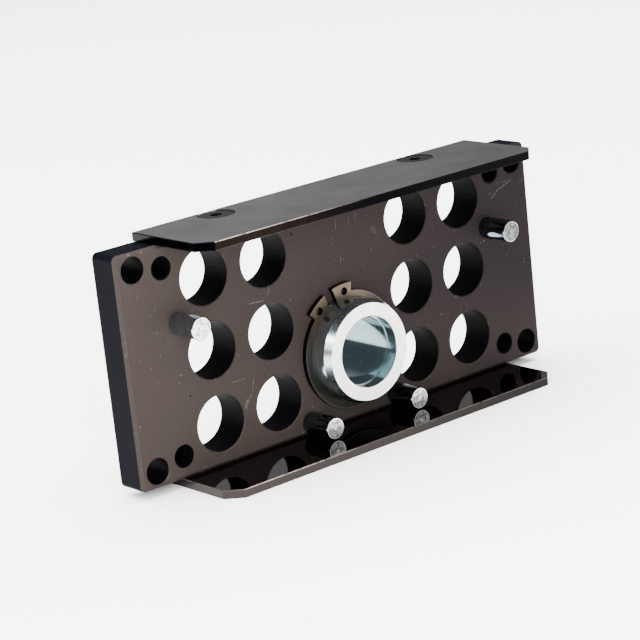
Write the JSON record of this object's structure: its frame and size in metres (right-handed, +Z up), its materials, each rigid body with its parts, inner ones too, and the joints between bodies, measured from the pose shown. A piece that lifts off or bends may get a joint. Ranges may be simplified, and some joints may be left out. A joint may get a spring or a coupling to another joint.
{
  "type": "movement holder plate",
  "caption": "Drilled holder plate between two guide plates, with rest pins and a swivelling flanged bush held by a circlip.",
  "frame": {"origin": "on the underside of the bottom guide plate, below the main plate's front face, at the middle of its length", "axes": "+X along the plate to the right seen from the front, +Y from the front face to the rear face, +Z up"},
  "size_m": [0.142, 0.0336, 0.066],
  "materials": {
    "black_anodised_aluminium": "matte",
    "gloss_black_anodised_aluminium": "gloss",
    "black_oxide_steel": "satin",
    "bright_plated_steel": "polished",
    "bronzed_spring_steel": "satin",
    "turned_steel": "satin"
  },
  "bodies": {
    "plate": {"main_plate": "black_anodised_aluminium", "top_guide_plate": "gloss_black_anodised_aluminium", "bottom_guide_plate": "gloss_black_anodised_aluminium", "top_left_screw": "black_oxide_steel", "top_right_screw": "black_oxide_steel", "bottom_left_screw": "black_oxide_steel", "bottom_right_screw": "black_oxide_steel", "left_pin": "turned_steel", "right_pin": "turned_steel", "lower_left_pin": "turned_steel", "lower_right_pin": "turned_steel"},
    "bush": {"swivel_bush": "bright_plated_steel", "circlip": "bronzed_spring_steel"}
  },
  "joints": [
    {"name": "bush_turn", "type": "hinge", "parent": "plate", "child": "bush", "pos_m": [0, 0, 0.0223], "axis": [0, -1, 0], "continuous": true}
  ]
}
